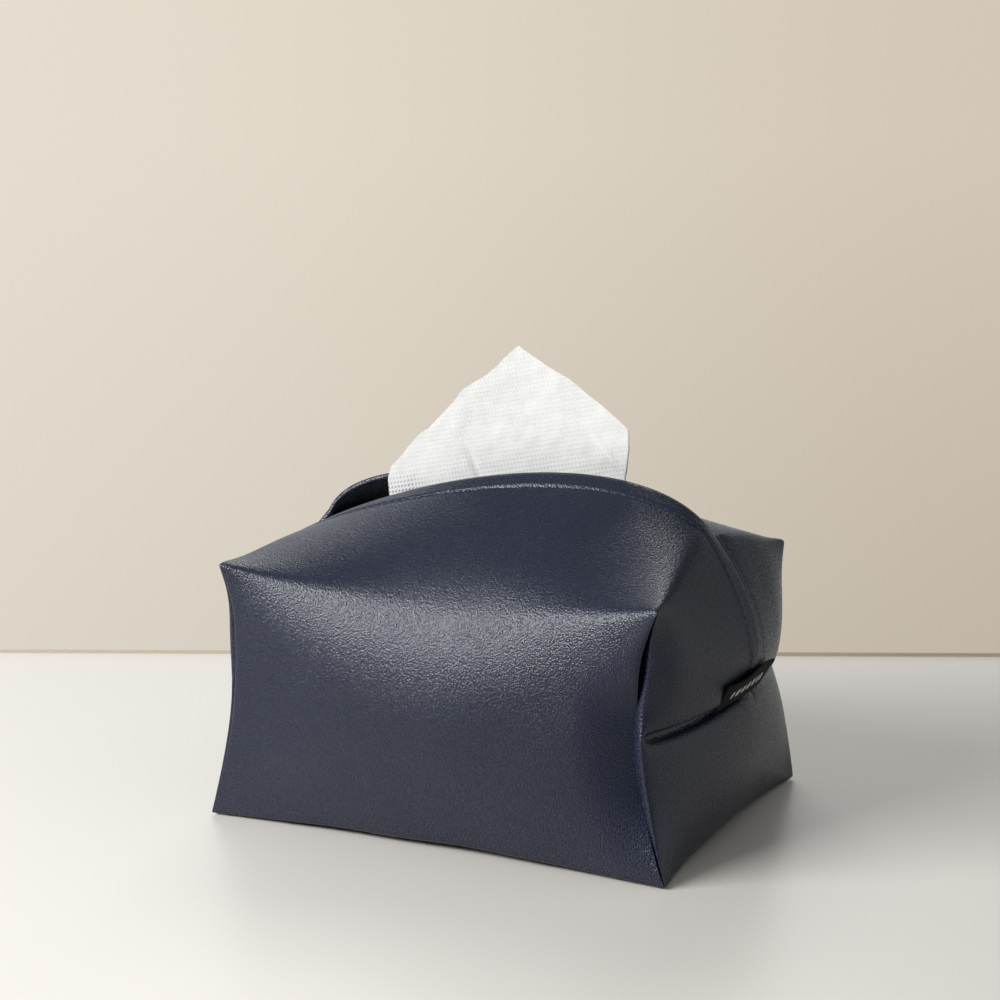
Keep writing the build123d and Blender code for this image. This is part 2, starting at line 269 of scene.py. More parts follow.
def lay_skin(nets, z):
    """Lays all the panels of one face of the sheet, its rims and its base. The pleat at the front's right
    edge gapes: the edge turns back round it, its valley is deeper and the end's edge is pushed in."""
    grids = {}
    for (kind, sx, sy), net in nets.items():
        panel, _, half = kind.partition("_")
        us, vs = spacing[panel]
        points = surface(net, us, vs)
        gapes = (sx, sy) == (1, -1)
        height = upright / 2 + (0.5 if half == "high" else 0)
        near_ear = share_of(np.minimum(height, 1 - height) / 0.12)
        held = eased(share_of(height / 0.42) * share_of((0.76 - height) / 0.18))
        roll = None
        if panel == "face":
            roll = grid(share_of(1.3 - np.minimum(us, 1 - us) * 16), near_ear)
            if sy < 0:
                near = share_of(1 - (1 - us) * half_length * 1.8 / turn_width)**2
                points += grid(near, held)[..., None] * turn_way
        if panel == "fold":
            roll = grid(near_ear, share_of(1 - vs * 2.5))
            if gapes:
                points += grid(held, (1 - vs)**1.5)[..., None] * turn_way
                points[..., 0] -= grid(hollow * held, vs * (1 - vs))
        if gapes and panel in ("fold", "tuck"):
            from_ear = upright if half == "low" else 1 - upright
            points += grid(share_of(from_ear / 0.5), vs**2)[..., None] * valley_way
        if kind in ("end_top", "tuck_high"):
            below = us if panel == "end" else 1 - us
            held = share_of((1 - below) / 0.25) * share_of(below / 0.18)
            near = share_of(1 - vs * half_depth / 14)**2 if panel == "end" else (1 - vs)**1.5
            roll = grid(held, share_of(1.4 * near))
            if gapes:
                points += grid(held, near)[..., None] * end_way
        lay(points, roll)
        grids[kind, sx, sy] = points
    for sy in (-1, 1):
        edge = grids["face_low", 0, sy][:, 0]
        side = np.array([[x, sy * flat_y, z] for x in np.linspace(-flat_x, flat_x, len(edge))])
        lay(rim(edge, side))
        for sx in (-1, 1):
            corner, middle = np.array([sx * flat_x, sy * flat_y, z]), np.array([sx * flat_x, 0, z])
            side = corner * (1 - to_lip[:, None]) + middle * to_lip[:, None]
            lay(rim(grids["end_low", sx, sy][-1], side))
    xs = np.linspace(-flat_x, flat_x, len(along))
    ys = np.concatenate([-flat_y * (1 - to_lip), flat_y * (1 - to_lip[::-1][1:])])
    lay(np.array([[[x, y, z] for y in ys] for x in xs]))
    return grids


def rim(edge, side):
    """The strip from a bottom edge in to the flat part of the base."""
    shares = np.linspace(0, 1, 7)
    drop = eased(shares)
    points = edge[:, None] * (1 - shares)[None, :, None] + side[:, None] * shares[None, :, None]
    points[:, :, 2] = edge[:, None, 2] * (1 - drop)[None] + side[:, None, 2] * drop[None]
    return points


outer = lay_skin(skin(0, 0, 0), 0.0)
outer_count = len(corners)
inner = lay_skin(skin(wall, hem, ear_fill), wall)


def lip_line(grids, sy):
    """The edge of the mouth from the left end seam to the right one."""
    left, right = grids["end_top", -1, sy][:, -1], grids["end_top", 1, sy][:, -1]
    return np.vstack([left[::-1], grids["top", 0, sy][1:-1, -1], right])


lips = {}
for sy in (-1, 1):
    a, b = lip_line(outer, sy), lip_line(inner, sy)
    lips[sy] = a
    turn = np.linspace(0, math.pi, 9)
    middle, half = (a + b) / 2, (a - b) / 2
    rise = np.cross(np.gradient(a, axis=0), half)
    rise *= np.sign(rise[len(rise) // 2, 2])
    rise *= 0.8 * (np.linalg.norm(half, axis=1) / np.linalg.norm(rise, axis=1))[:, None]
    from_end = np.minimum(np.arange(len(a)), np.arange(len(a))[::-1])
    rise *= share_of(from_end / 8)[:, None]
    lay(np.array([middle + half * math.cos(k) + rise * math.sin(k) for k in turn]))

mesh = bpy.data.meshes.new("case")
mesh.from_pydata([tuple(p * mm) for p in corners], [], quads)
case = bpy.data.objects.new("case", mesh)
bpy.context.scene.collection.objects.link(case)
inside = mesh.attributes.new("inside", "FLOAT", "POINT")
inside.data.foreach_set("value", (np.arange(len(corners)) >= outer_count).astype(np.float32))
rolled = mesh.attributes.new("rolled", "FLOAT", "POINT")
rolled.data.foreach_set("value", np.array(edge_roll, np.float32))
bpy.ops.object.select_all(action="DESELECT")
case.select_set(True)
bpy.context.view_layer.objects.active = case
bpy.ops.object.mode_set(mode="EDIT")
bpy.ops.mesh.select_all(action="SELECT")
bpy.ops.mesh.remove_doubles(threshold=0.02 * mm)
bpy.ops.mesh.normals_make_consistent(inside=False)
bpy.ops.object.mode_set(mode="OBJECT")
bpy.ops.object.shade_smooth()

# The hem: the edge of the mouth is turned in 7 mm and sewn, so it stands up as a band with a groove
# along its inner side. The folds of the sheet are soft, so they are smoothed before the band is raised.
hem_width = 6.8
lip_tree = {}
for sy, line in lips.items():
    eighths = np.linspace(0.125, 1, 8)[:, None]
    fine = np.vstack([line[:1]] + [a + (b - a) * eighths for a, b in zip(line, line[1:])])
    lip_tree[sy] = KDTree(len(fine))
    for k, p in enumerate(fine):
        lip_tree[sy].insert(p, k)
    lip_tree[sy].balance()


def points_of(piece):
    """The piece's points, in millimetres."""
    found = np.zeros(len(piece.data.vertices) * 3)
    piece.data.vertices.foreach_get("co", found)
    return found.reshape(-1, 3) / mm


def normals_of(piece):
    """The way that the piece faces at each point."""
    found = np.zeros(len(piece.data.vertices) * 3)
    piece.data.vertices.foreach_get("normal", found)
    return found.reshape(-1, 3)


def put_points(piece, points):
    """Moves the piece's points to these places, given in millimetres."""
    piece.data.vertices.foreach_set("co", (points * mm).ravel())
    piece.data.update()


def from_lip(points):
    """How far each point near the mouth is from its edge. The others are far away."""
    away = np.full(len(points), 99.0)
    for k, p in enumerate(points):
        if p[2] > seam_height - 5 and abs(p[1]) < half_depth * 0.55:
            away[k] = lip_tree[-1 if p[1] < 0 else 1].find(p)[2]
    return away


def value_of(piece, name):
    """A value kept at each point of the piece."""
    found = np.zeros(len(piece.data.vertices), np.float32)
    piece.data.attributes[name].data.foreach_get("value", found)
    return found


def soften(piece, name, weights, times):
    """Smooths the piece where the weights say so."""
    group = piece.vertex_groups.new(name=name)
    for k in np.nonzero(weights > 0)[0]:
        group.add([int(k)], float(weights[k]), "REPLACE")
    smooth = piece.modifiers.new(name, "SMOOTH")
    smooth.factor, smooth.iterations, smooth.vertex_group = 0.5, times, name
    bpy.ops.object.modifier_apply(modifier=smooth.name)


points = points_of(case)
away = from_lip(points)
inner_side = value_of(case, "inside") > 0.5
seam_tree = KDTree(4 * len(to_lip))
for sx in (-1, 1):
    for sy in (-1, 1):
        for p in outer["end_top", sx, sy][-1]:
            seam_tree.insert(p, 0)
seam_tree.balance()
from_seam = np.array([seam_tree.find(p)[2] for p in points])
ears = np.array([[sx * top_length / 2, sy * top_depth / 2, ear_height] for sx in (-1, 1) for sy in (-1, 1)])
from_ear = np.linalg.norm(points[:, None] - ears[None], axis=2).min(axis=1)
flat = (points[:, 2] < 0.01) & (np.abs(points[:, 0]) < flat_x - 2) & (np.abs(points[:, 1]) < flat_y - 2)
soft = share_of((away - 9) / 10) * share_of((from_seam - 1) / 8)
soft[flat] = 0
soften(case, "soft edges", soft, 9)
soften(case, "rolled edges", value_of(case, "rolled"), 24)
high = share_of((points[:, 2] - 76) / 12)
soften(case, "broad rolls", share_of((from_ear - 3) / 16) * share_of((away - 12) / 12) * high, 40)

# The ears are drawn back out to where they were before the smoothing.
points = points_of(case)
for ear in ears:
    share = np.exp(-(np.linalg.norm(points - ear, axis=1) / 9)**2)
    points += np.array([0.6, 0.5, 0.5]) * np.sign(ear) * share[:, None]
put_points(case, points)
points, normals = points_of(case), normals_of(case)


def swell(x, middle, width):
    """A smooth hump, 1 at its middle."""
    return np.exp(-((x - middle) / width)**2)


band = share_of((hem_width + 0.7 - away) / 1.4)
lift = 0.4 * band * share_of(away / 1.0) - 0.26 * swell(away, hem_width + 0.7, 0.9)
waves = np.array([noise.noise(Vector(p / 34.0)) for p in points])
lift += 0.5 * waves * share_of((away - 6) / 20)
lift[inner_side] *= 0.3
beside = np.abs(points[:, 1])
to_pleat = half_depth - pleat_inset_y - 0.5 - beside
groove = 2.8 * swell(from_seam, 0, 2.0) * share_of((beside - 1) / 5) * share_of(to_pleat / 3)
lift += np.where(inner_side, groove, -groove)
lift[flat] = 0
points += normals * lift[:, None]
points[:, 2] = np.maximum(points[:, 2], 0)
put_points(case, points)


# Leatherette: polyurethane on cloth, pressed with a fine pebble grain. It is navy, close to black in
# the shade. Its clear skin gives a broad sheen, which breaks up on the pebbles because they are
# polished on top and dull in the valleys between them.
def linear(colour):
    """An sRGB hex colour as the linear values that a shader takes."""
    parts = [int(colour[k:k + 2], 16) / 255 for k in (1, 3, 5)]
    return tuple(c / 12.92 if c <= 0.04045 else ((c + 0.055) / 1.055)**2.4 for c in parts) + (1.0,)


def give(owner, node, inputs):
    """Gives each input of a node its value, or the output of another node."""
    for name, given in inputs.items():
        if isinstance(given, bpy.types.NodeSocket):
            owner.node_tree.links.new(given, node.inputs[name])
        else:
            node.inputs[name].default_value = given


def add_node(owner, kind, inputs=(), **settings):
    """Adds a node with its settings and its inputs."""
    node = owner.node_tree.nodes.new(kind)
    for name, value in settings.items():
        setattr(node, name, value)
    give(owner, node, dict(inputs))
    return node


def new_material(name):
    """A material and its shader."""
    material = bpy.data.materials.new(name)
    material.use_nodes = True
    return material, material.node_tree.nodes["Principled BSDF"]


pebble_size, pebble_height, pore_size, cloud_size = 0.74 * mm, 0.25 * mm, 0.35 * mm, 45 * mm
leather, shader = new_material("Navy pebbled leatherette")
place = add_node(leather, "ShaderNodeTexCoord").outputs["Object"]
pebbles = add_node(leather, "ShaderNodeTexVoronoi", {"Vector": place, "Scale": 1 / pebble_size},
                   feature="F1")
pores = add_node(leather, "ShaderNodeTexNoise", {"Vector": place, "Scale": 1 / pore_size, "Detail": 2.0})
depths = add_node(leather, "ShaderNodeMath", {0: pores.outputs["Fac"], 1: -0.35,
                                              2: pebbles.outputs["Distance"]}, operation="MULTIPLY_ADD")
grain = add_node(leather, "ShaderNodeBump", {"Height": depths.outputs[0], "Strength": 0.68,
                                             "Distance": pebble_height}, invert=True)
dullness = add_node(leather, "ShaderNodeMapRange", {"Value": pebbles.outputs["Distance"], "From Min": 0.2,
                                                    "From Max": 0.6, "To Min": 0.17, "To Max": 0.36})
clouds = add_node(leather, "ShaderNodeTexNoise", {"Vector": place, "Scale": 1 / cloud_size})
dye = add_node(leather, "ShaderNodeMix", {"Factor": clouds.outputs["Fac"], "A": linear("#0b1223"),
                                          "B": linear("#10182c")}, data_type="RGBA")
give(leather, shader, {"Base Color": dye.outputs["Result"], "Roughness": dullness.outputs[0],
                       "Normal": grain.outputs["Normal"], "IOR": 1.45})
case.data.materials.append(leather)
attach(case, "case")
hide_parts("case_sheet")


# The thread along the mouth: one row of stitches in each lip, 7 mm in from its edge. Each stitch is
# about 3 mm of navy polyester thread, a little lighter than the leatherette and with a soft sheen. It
# lies in the groove that it has pulled, so only its back shows.
stitch_pitch, stitch_length = 3.6, 2.7
thread_thick, thread_in, thread_sunk = 0.36, 7.3, 0.04
row_end = 9.0
skin_tree = BVHTree.FromObject(case, bpy.context.evaluated_depsgraph_get())


def inside_line(sy, distance):
    """The line along a lip, this far in from its edge."""
    left, top, right = (outer[kind, sx, sy] for kind, sx in (("end_top", -1), ("top", 0), ("end_top", 1)))
    line = []
    for row in list(left[::-1]) + list(top[1:-1]) + list(right):
        row = row[::-1]
        run = np.concatenate([[0], np.cumsum(np.linalg.norm(np.diff(row, axis=0), axis=1))])
        line.append([np.interp(distance, run, row[:, k]) for k in range(3)])
    return np.array(line)


bpy.ops.mesh.primitive_uv_sphere_add(segments=8, ring_count=6, radius=0.5)
pattern = bpy.context.object
stitch = np.zeros(len(pattern.data.vertices) * 3)
pattern.data.vertices.foreach_get("co", stitch)
stitch = stitch.reshape(-1, 3)
stitch_faces = sorted(tuple(polygon.vertices) for polygon in pattern.data.polygons)
bpy.data.objects.remove(pattern)
corners, quads = [], []
for sy in (-1, 1):
    line = inside_line(sy, thread_in)
    run = np.concatenate([[0], np.cumsum(np.linalg.norm(np.diff(line, axis=0), axis=1))])
    for middle in np.arange(row_end, run[-1] - row_end, stitch_pitch):
        ends = []
        for at_run in (middle - stitch_length / 2, middle, middle + stitch_length / 2):
            spot = Vector([np.interp(at_run, run, line[:, k]) for k in range(3)]) * mm
            ends.append(skin_tree.find_nearest(spot)[:2])
        along_way = (ends[2][0] - ends[0][0]).normalized()
        out_way = ends[1][1]
        side_way = out_way.cross(along_way).normalized()
        turn = np.array([along_way * stitch_length, side_way * thread_thick, out_way * thread_thick])
        start = len(corners)
        corners.extend(np.array(ends[1][0]) / mm - np.array(out_way) * thread_sunk + stitch @ turn)
        quads.extend(tuple(start + k for k in face) for face in stitch_faces)
mesh = bpy.data.meshes.new("lip_stitches")
mesh.from_pydata([tuple(p * mm) for p in corners], [], quads)
stitches = bpy.data.objects.new("lip_stitches", mesh)
bpy.context.scene.collection.objects.link(stitches)
mesh.shade_smooth()
thread, shader = new_material("Polyester thread")
give(thread, shader, {"Base Color": linear("#394054"), "Roughness": 0.4})
stitches.data.materials.append(thread)
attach(stitches, "case")


# The label: a black woven ribbon, folded in half, with its ends sewn into the right seam. It stands
# out from the seam, a little bowed, and bears a plain row of pale woven dashes.
label_length, label_height, label_side, label_lean = 44.0, 12.0, 7.0, 32.0
ribbon, layer_gap = 0.42, 0.5
root_out, root_up = 0.9, 0.2
seam_line = outer["end_top", 1, -1][-1]
seam_line = seam_line[np.argsort(seam_line[:, 1])]
ys = np.linspace(-label_side - label_length / 2, -label_side + label_length / 2, 45)
straight = np.linspace(0, label_height - layer_gap / 2, 13)
bent = np.linspace(0, math.pi, 7)[1:-1]
profile = [(h, layer_gap / 2) for h in straight]
profile += [(straight[-1] + layer_gap / 2 * math.sin(k), layer_gap / 2 * math.cos(k)) for k in bent]
profile += [(h, -layer_gap / 2) for h in straight[::-1]]
corners, label_uv = [], []
for i, y in enumerate(ys):
    root_x, root_z = (np.interp(-abs(y), seam_line[:, 1], seam_line[:, k]) for k in (0, 2))
    lean = math.radians(label_lean + 3 * math.sin(i / 7) - 5 * (1 - i / 44))
    for h, aside in profile:
        bow = 0.5 * math.sin(i / 9 + 1) * (h / label_height)**2
        x = root_x + root_out + h * math.sin(lean) + (aside + bow) * math.cos(lean)
        z = root_z + root_up + h * math.cos(lean) - (aside + bow) * math.sin(lean)
        corners.append((x * mm, y * mm, z * mm))
        label_uv.append((y * mm, (h if aside > 0 else 2 * label_height - h) * mm))
n = len(profile)
starts = [i * n + j for i in range(len(ys) - 1) for j in range(n - 1)]
mesh = bpy.data.meshes.new("label")
mesh.from_pydata(corners, [], [(k, k + n, k + n + 1, k + 1) for k in starts])
label = bpy.data.objects.new("label", mesh)
bpy.context.scene.collection.objects.link(label)
uv = mesh.uv_layers.new(name="weave")
for loop in mesh.loops:
    uv.data[loop.index].uv = label_uv[loop.vertex_index]
mesh.shade_smooth()
solid = label.modifiers.new("ribbon", "SOLIDIFY")
solid.thickness, solid.offset = ribbon * mm, 0

# The ribbon's yarn is dull black polyester, so it takes next to no highlight. Its weave is drawn coarser
# than on a real ribbon, so that it shows as a faint grid.
weave_pitch, weave_height = 0.888 * mm, 0.2 * mm
dash_pitch = 4.6 * mm
dash_length = 0.56 * dash_pitch
row_middle, row_half_length = -label_side * mm, 15 * mm
dash_middle, dash_half_height = 5.6 * mm, 1.7 * mm
woven, shader = new_material("Black woven ribbon")
place = add_node(woven, "ShaderNodeUVMap", uv_map="weave").outputs[0]
apart = add_node(woven, "ShaderNodeSeparateXYZ", {0: place})
past = add_node(woven, "ShaderNodeMath", {0: apart.outputs["X"], 1: dash_pitch},
                operation="FLOORED_MODULO")
dash = add_node(woven, "ShaderNodeMath", {0: past.outputs[0], 1: dash_length}, operation="LESS_THAN")
for axis, middle, half in (("X", row_middle, row_half_length), ("Y", dash_middle, dash_half_height)):
    near = add_node(woven, "ShaderNodeMath", {0: apart.outputs[axis], 1: middle, 2: half},
                    operation="COMPARE")
    dash = add_node(woven, "ShaderNodeMath", {0: dash.outputs[0], 1: near.outputs[0]},
                    operation="MULTIPLY")
yarn = add_node(woven, "ShaderNodeMix", {"Factor": dash.outputs[0], "A": linear("#060606"),
                                         "B": linear("#b9b9b6")}, data_type="RGBA")
bands = {"Vector": place, "Scale": math.pi / 10 / weave_pitch}  # at scale 1, a wave is a tenth of pi long
weft = add_node(woven, "ShaderNodeTexWave", bands, bands_direction="Y")
warp = add_node(woven, "ShaderNodeTexWave", bands, bands_direction="X")
crossed = add_node(woven, "ShaderNodeMath", {0: weft.outputs["Fac"], 1: warp.outputs["Fac"]},
                   operation="MULTIPLY")
ribs = add_node(woven, "ShaderNodeBump", {"Height": crossed.outputs[0], "Strength": 0.6,
                                          "Distance": weave_height})
give(woven, shader, {"Base Color": yarn.outputs["Result"], "Normal": ribs.outputs["Normal"],
                     "Roughness": 0.8, "IOR": 1.3})
label.data.materials.append(woven)
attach(label, "label")
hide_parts("loop_label")


# The pack inside: tissues in a thin milky film, which has an oval slot torn open along its top. Its
# long edges are round, because the sheets are folded there. The film is made thicker than a real one.
pack_low, pack_high = (Vector(corner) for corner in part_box("pack_film"))
pack_size, pack_middle = pack_high - pack_low, (pack_low + pack_high) / 2
film_thick, film_round, slot_length, slot_width = 0.6 * mm, 6.0 * mm, 126.0 * mm, 26.0 * mm


def block(name, size, middle, rounding):
    """A block with its long edges rounded."""
    bpy.ops.mesh.primitive_cube_add(size=1)
    made = bpy.context.object
    made.name = name
    made.data.transform(Matrix.Translation(middle) @ Matrix.Diagonal((*size, 1)))
    bevel = made.modifiers.new("folds", "BEVEL")
    bevel.width, bevel.segments, bevel.limit_method = rounding, 6, "WEIGHT"
    weight = made.data.attributes.new("bevel_weight_edge", "FLOAT", "EDGE")
    for edge in made.data.edges:
        a, b = (made.data.vertices[k].co for k in edge.vertices)
        weight.data[edge.index].value = float(abs(a.x - b.x) > size[0] / 2)
    bpy.ops.object.modifier_apply(modifier=bevel.name)
    return made


def cut(piece, tool):
    """Cuts the tool out of the piece."""
    bpy.ops.object.select_all(action="DESELECT")
    piece.select_set(True)
    bpy.context.view_layer.objects.active = piece
    less = piece.modifiers.new("cut", "BOOLEAN")
    less.object, less.solver = tool, "EXACT"
    bpy.ops.object.modifier_apply(modifier=less.name)
    bpy.data.objects.remove(tool)


film = block("film", pack_size, pack_middle, film_round)
cut(film, block("hollow", pack_size - Vector((2, 2, 2)) * film_thick, pack_middle, film_round - film_thick))
bpy.ops.mesh.primitive_cylinder_add(vertices=64, radius=slot_width / 2, depth=8 * mm)
slot_tool = bpy.context.object
for vertex in slot_tool.data.vertices:
    vertex.co.x += math.copysign((slot_length - slot_width) / 2, vertex.co.x)
    vertex.co.z += pack_high.z
cut(film, slot_tool)

# The film is milky polythene: it lets some light through and keeps a smooth, slightly oily shine.
sheeting, shader = new_material("Milky polythene film")
give(sheeting, shader, {"Base Color": linear("#dfe3e6"), "Roughness": 0.25, "Transmission Weight": 0.35,
                        "IOR": 1.5})
film.data.materials.append(sheeting)
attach(film, "case")
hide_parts("pack_film")


# The tissues in the pack: sheets folded over each other, so that the front and back of the stack are
# rows of rounded folds and its ends are rows of cut edges.
stack_low, stack_high = (Vector(corner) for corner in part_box("tissue_stack"))
fold_count, ragged, corner_round, round_folds = 28, 0.5 * mm, 5.5 * mm, 1.6
fold_height = (stack_high.z - stack_low.z) / fold_count
corners, quads = [], []
for k in range(fold_count):
    z = stack_low.z + (k + 0.5) * fold_height
    inset = ragged * (1 + noise.noise(Vector((k * 1.7, 0, 0))))
    corner_in = corner_round * max(0, 1 - min(k, fold_count - 1 - k) / round_folds)
    outline = []
    for side in (1, -1):
        for turn in np.linspace(-math.pi / 2, math.pi / 2, 7) * side:
            y = side * (stack_high.y - inset - corner_in - fold_height / 2 * (1 - math.cos(turn)))
            outline.append((y, z + fold_height / 2 * math.sin(turn)))
    start = len(corners)
    for x in (stack_low.x + inset, stack_high.x - inset):
        corners.extend((x, y, z) for y, z in outline)
    m = len(outline)
    quads.extend((start + j, start + (j + 1) % m, start + m + (j + 1) % m, start + m + j) for j in range(m))
    quads += [tuple(start + j for j in range(m))[::-1], tuple(start + m + j for j in range(m))]
mesh = bpy.data.meshes.new("tissue_stack_folds")
mesh.from_pydata(corners, [], quads)
stack = bpy.data.objects.new("tissue_stack_folds", mesh)
bpy.context.scene.collection.objects.link(stack)


# Tissue: soft white paper, embossed with rows of small dots, 1.45 mm apart and shifted from row to
# row. The paper is thin there, and the dots are painted grey where the dark inside of the case is behind
# them: painted shade, standing in for the dark that shows through.
dot_pitch, row_pitch, fibre_size, dot_depth = 1.45 * mm, 1.8 * mm, 0.6 * mm, 0.2 * mm
tissue, shader = new_material("Embossed white tissue")
place = add_node(tissue, "ShaderNodeUVMap", uv_map="cut").outputs[0]
counted = add_node(tissue, "ShaderNodeVectorMath", {0: place, 1: (dot_pitch, row_pitch, 1)},
                   operation="DIVIDE")
apart = add_node(tissue, "ShaderNodeSeparateXYZ", {0: counted.outputs[0]})
row = add_node(tissue, "ShaderNodeMath", {0: apart.outputs["Y"]}, operation="FLOOR")
odd = add_node(tissue, "ShaderNodeMath", {0: row.outputs[0], 1: 2.0}, operation="MODULO")
shifted = add_node(tissue, "ShaderNodeMath", {0: odd.outputs[0], 1: 0.5, 2: apart.outputs["X"]},
                   operation="MULTIPLY_ADD")
spot = add_node(tissue, "ShaderNodeCombineXYZ", {"X": shifted.outputs[0], "Y": apart.outputs["Y"]})
cell = add_node(tissue, "ShaderNodeVectorMath", {0: spot.outputs[0]}, operation="FRACTION")
off = add_node(tissue, "ShaderNodeVectorMath", {0: cell.outputs[0], 1: (0.5, 0.5, 0)},
               operation="SUBTRACT")
square = add_node(tissue, "ShaderNodeVectorMath", {0: off.outputs[0], 1: off.outputs[0]},
                  operation="DOT_PRODUCT")
dot = add_node(tissue, "ShaderNodeMapRange", {"Value": square.outputs["Value"], "From Min": 0.13,
                                              "From Max": 0.03}, interpolation_type="SMOOTHSTEP")
fibres = add_node(tissue, "ShaderNodeTexNoise", {"Vector": place, "Scale": 1 / fibre_size, "Detail": 3.0})
fluff = add_node(tissue, "ShaderNodeMath", {0: fibres.outputs["Fac"], 1: 0.4}, operation="MULTIPLY")
relief = add_node(tissue, "ShaderNodeMath", {0: fluff.outputs[0], 1: dot.outputs[0]},
                  operation="SUBTRACT")
pressed = add_node(tissue, "ShaderNodeBump", {"Height": relief.outputs[0], "Strength": 0.35,
                                              "Distance": dot_depth})
# Painted shade: each point of a sheet says how much of the dark case shows through its dots.
behind = add_node(tissue, "ShaderNodeAttribute", attribute_name="painted_shade_behind")
shade = add_node(tissue, "ShaderNodeMath", {0: dot.outputs[0], 1: behind.outputs["Fac"]},
                 operation="MULTIPLY")
# The dots' paper colour is mixed toward grey by that painted shade.
paper_with_painted_shade = add_node(tissue, "ShaderNodeMix", {"Factor": shade.outputs[0], "A": linear("#dadad6"),
                                          "B": linear("#5b5f68")}, data_type="RGBA")
give(tissue, shader, {"Base Color": paper_with_painted_shade.outputs["Result"], "Normal": pressed.outputs["Normal"],
                      "Roughness": 0.95})
through = add_node(tissue, "ShaderNodeBsdfTranslucent", {"Color": linear("#dadad6")})
thin = add_node(tissue, "ShaderNodeMixShader", {0: 0.25, 1: shader.outputs[0], 2: through.outputs[0]})
give(tissue, tissue.node_tree.nodes["Material Output"], {"Surface": thin.outputs[0]})
stack.data.materials.append(tissue)
stack.data.uv_layers.new(name="cut")
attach(stack, "case")
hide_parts("tissue_stack")


def sheet_of(name, layers, uvs, painted_shade):
    """A thin sheet from a grid of points. Its UV map keeps where each point lies in the flat cut, and each
    point keeps the painted shade that its dots take.
    """
    nu, nv = layers.shape[:2]
    made_mesh = bpy.data.meshes.new(name)
    faces = [(i * nv + j, (i + 1) * nv + j, (i + 1) * nv + j + 1, i * nv + j + 1)
             for i in range(nu - 1) for j in range(nv - 1)]
    made_mesh.from_pydata([tuple(p * mm) for p in layers.reshape(-1, 3)], [], faces)
    made_mesh.shade_smooth()
    flat_uv = uvs.reshape(-1, 2) * mm
    found = made_mesh.uv_layers.new(name="cut")
    for loop in made_mesh.loops:
        found.data[loop.index].uv = flat_uv[loop.vertex_index]
    # The painted shade of the dots, kept at each point.
    painted_shade_layer = made_mesh.attributes.new("painted_shade_behind", "FLOAT", "POINT")
    painted_shade_layer.data.foreach_set("value", painted_shade.ravel().astype(np.float32))
    piece = bpy.data.objects.new(name, made_mesh)
    bpy.context.scene.collection.objects.link(piece)
    piece.data.materials.append(tissue)
    return piece


# The next tissue: the fold of the sheet below, which peeps out of the slot and follows the first one
# up. It hangs 9 mm down on each side of its fold, which is a little wavy.
next_low, next_high = (np.array(corner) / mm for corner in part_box("next_tissue"))
fold_length, fold_side = 98, 9
us, vs = np.linspace(0, 1, 61)[:, None], np.linspace(-1, 1, 17)
points = np.zeros((61, 17, 3))
points[..., 0] = next_low[0] + 1 + (next_high[0] - next_low[0] - 2) * us
points[..., 1] = next_low[1] + 0.3 + 0.27 * np.sin(us * 9) + vs * 0.28
points[..., 2] = next_high[2] - 0.6 + 0.5 * np.sin(us * 23)
points[..., 2] -= (next_high[2] - next_low[2] - 0.6) * np.abs(vs)**1.3
flat_places = np.stack(np.broadcast_arrays(us * fold_length, vs * fold_side), -1)
next_sheet = sheet_of("next_sheet", points, flat_places, np.zeros((61, 17)))
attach(next_sheet, "next_sheet")
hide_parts("next_tissue")


# The drawn tissue: a square sheet of soft paper, pulled up by one corner. Its right part is folded
# behind at the upright edge, and its left edge runs down in small steps.
left_edge = np.array([
    (5.1, 190.0), (-0.7, 185.1), (-4.3, 181.2), (-9.8, 176.8), (-14.4, 174.3), (-19.9, 170.7),
    (-24.5, 165.1), (-29.2, 160.5), (-35.8, 153.8), (-40.0, 151.4), (-44.3, 146.9), (-49.1, 141.1),
    (-53.5, 136.6), (-55.0, 131.4), (-54.3, 125.0), (-50, 110), (-44, 88)])
right_edge = np.array([
    (5.1, 190.0), (9.5, 187.2), (17.9, 182.4), (27.6, 177.7), (35.4, 171.8), (42.4, 167.4),
    (50.6, 161.1), (53.4, 158.5), (53.8, 150.9), (52.8, 144.4), (52.3, 140.3), (50, 120), (45, 88)])
heights = 88 + 102 * np.linspace(0, 1, 120)
left_x = np.interp(heights, left_edge[::-1, 1], left_edge[::-1, 0])
right_x = np.interp(heights, right_edge[::-1, 1], right_edge[::-1, 0])
fold_top, fold_slope = 158.5, 0.78          # the back layer's edge runs down to the left from here
fold_gap = 2.4                              # between the two layers


def ripple(x, z):
    """How far the front of the sheet stands from its plane."""
    broad = 1.6 * math.sin(x / 26 + 0.6) + 1.1 * math.sin(z / 17 + x / 60)
    left_crease = 0.9 * swell(x + 0.45 * (z - 140), -16, 1.4) * share_of((152 - z) / 12)
    right_crease = 1.2 * swell(x + 0.9 * (z - 145), 47, 1.8) * share_of((156 - z) / 10)
    small, large = noise.noise(Vector((x / 5, z / 5, 0))), noise.noise(Vector((x / 16, z / 16, 3)))
    return broad + left_crease - right_crease + 0.25 * small + 0.7 * large


layers, unfolded_x = [], []
for z, left, right in zip(heights, left_x, right_x):
    end = np.clip(right - 0.98 * max((fold_top - z) / fold_slope, 0), left + 6, right)
    front = left + (right - left) * np.linspace(0, 1, 110)
    behind = right + (end - right) * np.linspace(0, 1, 60)[1:]
    gap = fold_gap * np.sqrt(1 - (1 - share_of((right - behind) / 5))**2)
    layers.append([(x, ripple(x, z), z) for x in front])
    layers[-1] += [(x, ripple(x, z) + aside, z) for x, aside in zip(behind, gap)]
    unfolded_x.append(np.concatenate([front, 2 * right - behind]))
points, unfolded_x = np.array(layers).swapaxes(0, 1), np.array(unfolded_x).T
